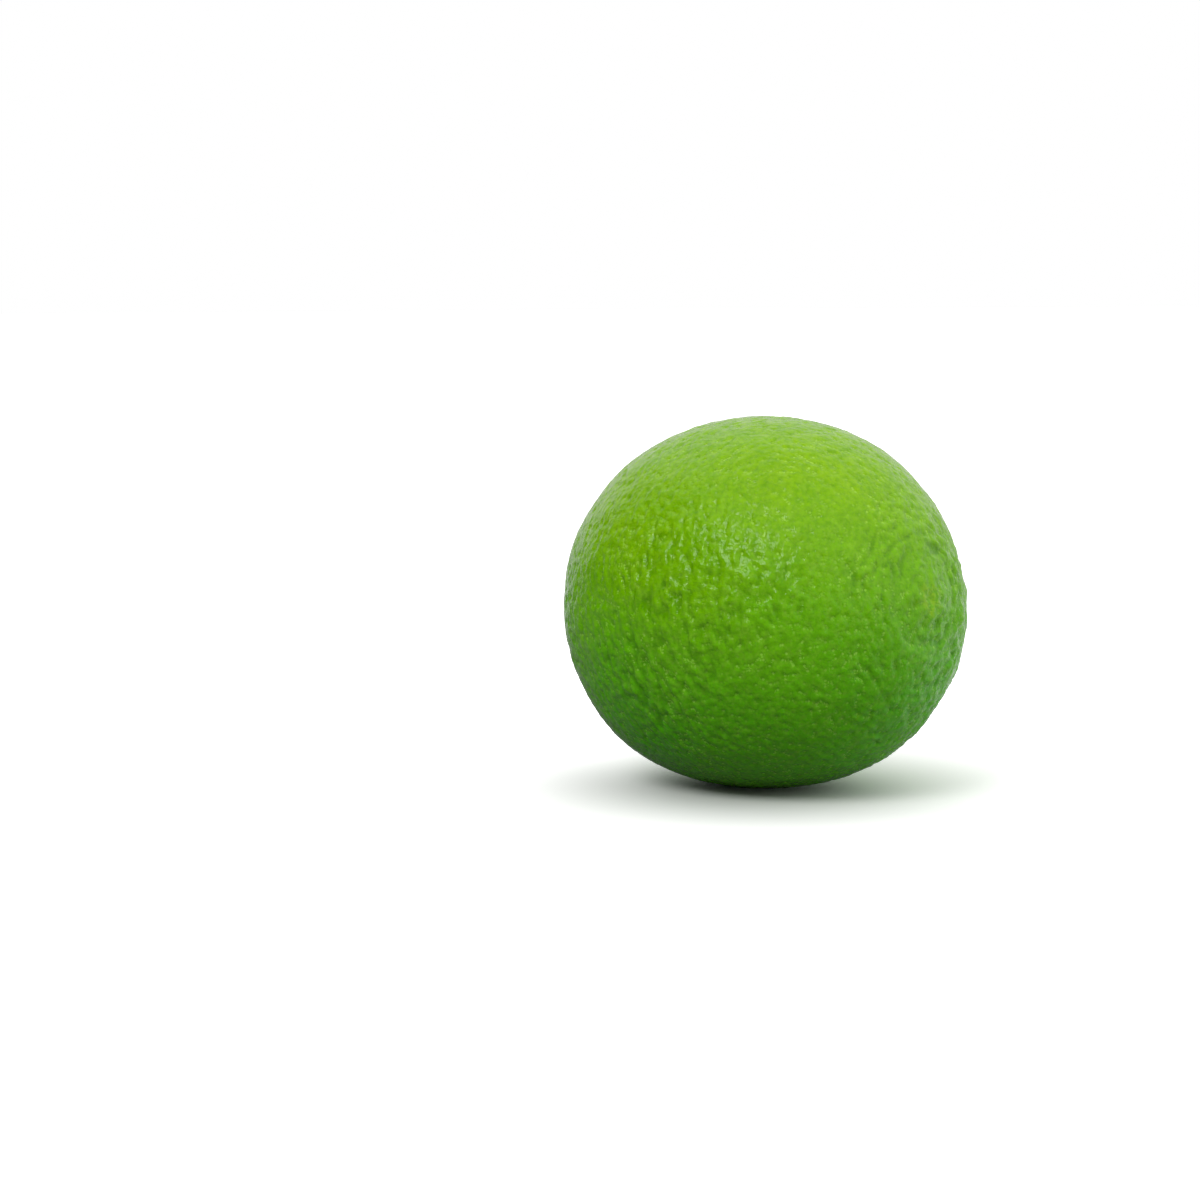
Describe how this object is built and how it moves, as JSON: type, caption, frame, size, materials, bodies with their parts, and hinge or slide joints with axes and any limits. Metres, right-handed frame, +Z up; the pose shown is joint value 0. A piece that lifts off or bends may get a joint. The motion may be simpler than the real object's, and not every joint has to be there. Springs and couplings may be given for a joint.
{
  "type": "lime",
  "caption": "Whole green lime, slightly longer than wide, with a puckered blossom end and a stalk scar, resting on its side.",
  "frame": {"origin": "centre of the fruit's outline from above, at the surface that it rests on", "axes": "+X to the blossom end and level, +Z up, -X to the stem end"},
  "size_m": [0.0602, 0.054, 0.0536],
  "materials": {
    "peel": "satin"
  },
  "bodies": {
    "root": {"lime": "peel"}
  },
  "joints": []
}
